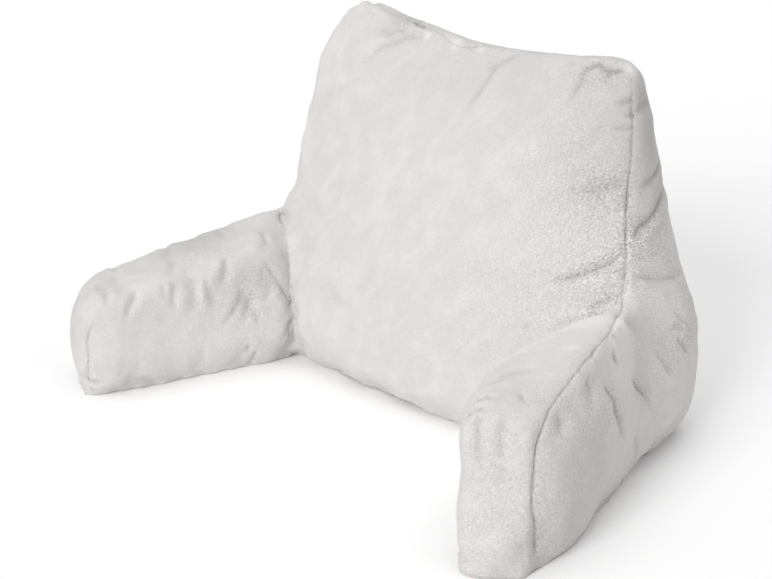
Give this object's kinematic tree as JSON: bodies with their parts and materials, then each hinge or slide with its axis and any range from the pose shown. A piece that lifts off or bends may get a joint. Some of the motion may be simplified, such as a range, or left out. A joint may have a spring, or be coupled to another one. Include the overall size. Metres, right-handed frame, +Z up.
{
  "type": "reading pillow with arms",
  "caption": "Stuffed wedge-shaped back rest with two forward arms that splay a little, in off-white short-pile plush, for sitting up in bed.",
  "frame": {"origin": "under the middle of the box that holds the pillow, on the surface it stands on", "axes": "+X across the pillow to the viewer's right, +Y from the reader towards the back, +Z up"},
  "size_m": [0.8106, 0.5032, 0.4748],
  "materials": {
    "plush": "warm off-white short-pile plush"
  },
  "bodies": {
    "root": {"backrest": "plush", "arm_left": "plush", "arm_right": "plush"}
  },
  "joints": []
}
